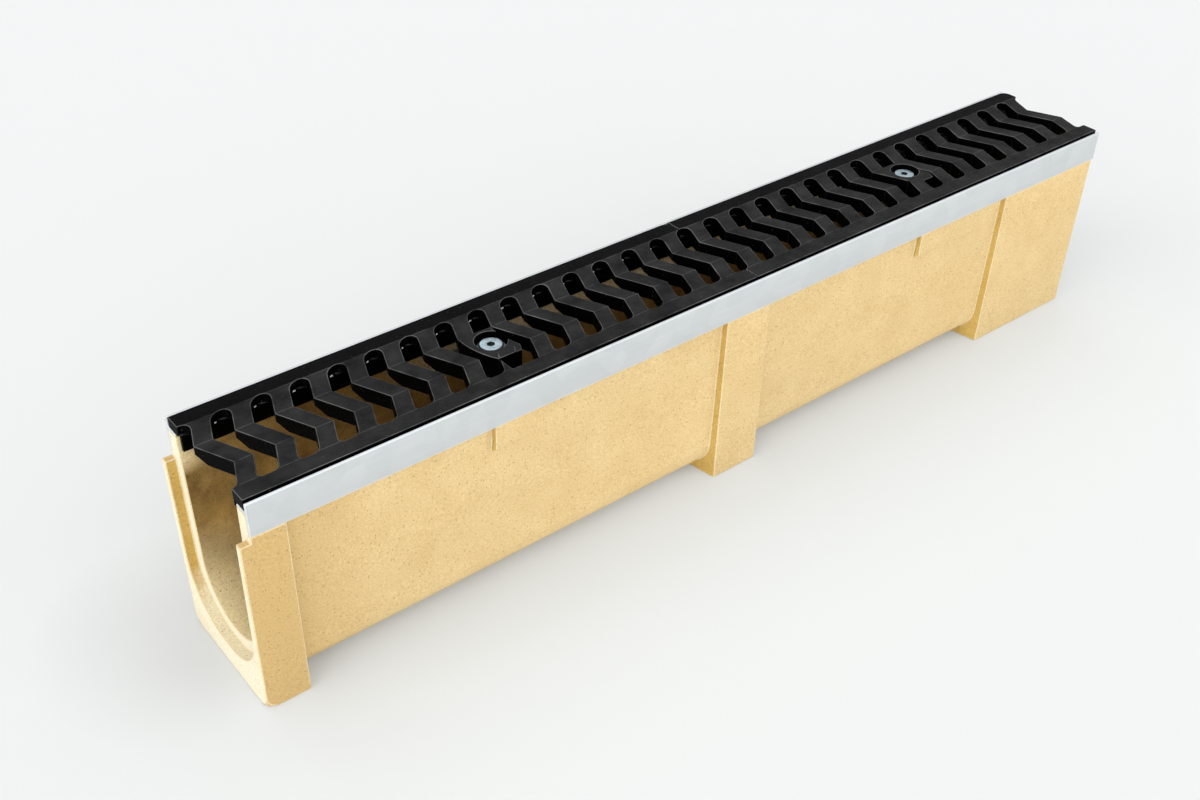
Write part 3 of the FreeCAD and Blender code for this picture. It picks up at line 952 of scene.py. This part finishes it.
def solids_maker(x0, bolt_x):
    """The boss and both skirts."""
    outline = [(bolt_x + a, b) for a, b in boss_outline()]
    boss = prism(outline, top - BOSS_DEPTH, top - DISH_DEPTH)

    def maker(shape):
        boss(shape)
        add_skirt(shape, x0, 1)
        add_skirt(shape, x0, -1)
        bmesh.ops.recalc_face_normals(shape, faces=shape.faces)
    return maker


print("spots of about", SPOT_SIZE[0] * 2, "mm on", BARS - 1, "ledges of each casting")

# %% [markdown]
# ### Cut and finish both castings
# Each casting runs through the same tree. After that its flat faces are merged, the tops of the
# bars take their rubbed finish, and the edges are rounded.

# %% Make the two castings
for place, low_corner in (("near", near_low), ("far", far_low)):
    x0 = low_corner.x / MM
    bolt_x = bolt_at[place] / MM
    section = plate_outline(HAUNCH_BEGIN[place])
    casting = new_piece("casting_" + place, prism(section, x0, x0 + length, upright=False), iron)
    solids = new_piece("solids", solids_maker(x0, bolt_x))
    cutters = [turned(bore_profile(), bolt_x), corner_cutter(x0 + length)]
    if place == "near":
        cutters.append(open_front(bolt_x))
    bore = new_piece("bore", lambda shape: [cutter(shape) for cutter in cutters])
    run_tree(casting, casting_tree, Slot=slot_cutter, Solids=solids, Bore=bore, Slot_Count=BARS + 1,
             First_Slot=(x0 + END_MARGIN) * MM, Pitch=pitch * MM, Finish=iron)
    merge_flat_faces(casting)
    for finish in (iron_dish, painted_glint, iron_rim_wear_and_highlight):
        casting.data.materials.append(finish)
    for face in casting.data.polygons:
        face.material_index = int(face.normal.z > 0.9 and abs(face.center.y) < SLOT_REACH * MM)
    soften(casting, width=0.65, segments=2)
    add_painted_glints(casting, x0)
    hand_over(casting, "iron", "grating_" + place)
    for helper in (solids, bore):
        bpy.data.objects.remove(helper)
bpy.data.objects.remove(slot_cutter)

# %% [markdown]
# ## Bolts, washers, crossbars and nuts
# Each casting is clamped by a bolt that reaches down to a bar across the trough. Small parts are
# copies of their nodes with softened edges.

# %% Round the small parts
RECESS_REACH = 4.0
RECESS_DEPTH = 3.0
HEAD_BEVEL_REACH = 9.6
HEAD_BEVEL_DEPTH = 1.1
SMALL_PARTS = (("bolt", "zinc", bolt_zinc, 0.25), ("washer", "zinc", bolt_zinc, 0.3),
               ("crossbar", "bar_steel", bar_steel, 0.6), ("nut", "zinc", bolt_zinc, 0.5))


def is_shadowed(face, bolt_x):
    """Painted shade: the bolt's driving recess and the bevel round its head are coloured dark."""
    reach = math.hypot(face.center.x - bolt_x, face.center.y) / MM
    level = (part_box("bolt_near")[1].z - face.center.z) / MM
    in_recess = reach < RECESS_REACH and 0.1 < level < RECESS_DEPTH
    return in_recess or reach > HEAD_BEVEL_REACH and 0.1 < level < HEAD_BEVEL_DEPTH


for place in ("near", "far"):
    for node, slot, finish, width in SMALL_PARTS:
        # The bolt's rim takes the painted shade as well, a dark ring round its head.
        rim = shadow_steel if node == "bolt" else finish
        part = copy_of(node + "_" + place, node + "_piece_" + place, finish, shadow_steel, rim)
        for face in part.data.polygons:
            face.material_index = int(node == "bolt" and is_shadowed(face, bolt_at[place]))
        hand_over(soften(part, width, segments=2), slot, node + "_" + place)

# %% [markdown]
# ## Floor, light and camera
# The drain stands on a pale floor. The floor is a shade darker close to the near end, where the
# photo shows a soft grey, and that shade is in its colour: distance from a point mixes two tones.

# %% Floor
FLOOR_HALF = 6000
FLOOR_TOP = -0.2
FLOOR_UNDER = -2
SHADE_CENTRE = (-0.52, 0.06, 0)
SHADE_REACH = 0.13
floor_material, floor_tree, floor_shader = new_material("pale floor")
floor_place = add(floor_tree, "ShaderNodeTexCoord").outputs["Object"]
from_foot = add(floor_tree, "ShaderNodeVectorMath", {0: floor_place, 1: SHADE_CENTRE},
                operation="DISTANCE").outputs["Value"]
shade = between(floor_tree, from_foot, 0.0, SHADE_REACH, 1.0, 0.0)
floor_tree.links.new(tint(floor_tree, shade, srgb(240, 242, 241), srgb(225, 226, 225)),
                     floor_shader.inputs["Base Color"])
floor_shader.inputs["Roughness"].default_value = 0.9
floor_outline = [(a * FLOOR_HALF, b * FLOOR_HALF) for a, b in ((-1, -1), (1, -1), (1, 1), (-1, 1))]
floor = new_piece("floor", prism(floor_outline, FLOOR_UNDER, FLOOR_TOP), floor_material)
print("floor, top at", FLOOR_TOP, "mm, shaded within", SHADE_REACH, "m of", SHADE_CENTRE)

# %% [markdown]
# ### Light
# The world gives even light from all sides. It is a little dimmer for the surfaces it lights than
# where the camera or a mirror sees it, which Light Path tells apart. Three broad suns then tell the
# faces from each other: a weak one above, one in front and one on the left.

# %% Light
WORLD_LIGHTS = 0.68
WORLD_SEEN = 0.8
scene = bpy.context.scene
world = bpy.data.worlds.new("studio")
scene.world = world
world.use_nodes = True
sky = world.node_tree
background = sky.nodes["Background"]
seen = add(sky, "ShaderNodeLightPath").outputs
mirror = calc(sky, "MAXIMUM", seen["Is Camera Ray"], calc(sky, "MAXIMUM", seen["Is Glossy Ray"],
                                                          seen["Is Transmission Ray"]))
background.inputs["Color"].default_value = srgb(250, 251, 252)
sky.links.new(between(sky, mirror, 0, 1, WORLD_LIGHTS, WORLD_SEEN), background.inputs["Strength"])


def soft_sun(name, towards, level, spread):
    """A broad sun: level is what it adds to a face that looks straight at it."""
    lamp = bpy.data.lights.new(name, "SUN")
    lamp.energy = level * math.pi
    lamp.angle = math.radians(spread)
    sun = bpy.data.objects.new(name, lamp)
    sun.rotation_euler = Vector(towards).to_track_quat("Z", "Y").to_euler()
    scene.collection.objects.link(sun)
    print(name, "adds", level)


soft_sun("high light", towards=(0.1, 0.35, 0.93), level=0.14, spread=50)
soft_sun("front light", towards=(0.15, -1.0, 0.25), level=0.36, spread=80)
soft_sun("left light", towards=(-1.0, -0.2, 0.3), level=0.47, spread=70)

# %% [markdown]
# ### Camera
# Lens, place and turn were worked out from points that can be told apart in the photo, such as the
# corners of the feet and the ends of the rails. The view is kept in plain Standard colours.

# %% Camera
camera_data = bpy.data.cameras.new("camera")
camera_data.sensor_width = 36
camera_data.lens = 41.658
camera = bpy.data.objects.new("camera", camera_data)
camera.location = (-0.77447, -0.79030, 0.84764)
camera.rotation_euler = [math.radians(a) for a in (53.6348, -0.9797, -38.5997)]
scene.collection.objects.link(camera)
scene.camera = camera
scene.view_settings.view_transform = "Standard"
print("camera with a", camera_data.lens, "mm lens at", tuple(round(v, 3) for v in camera.location))
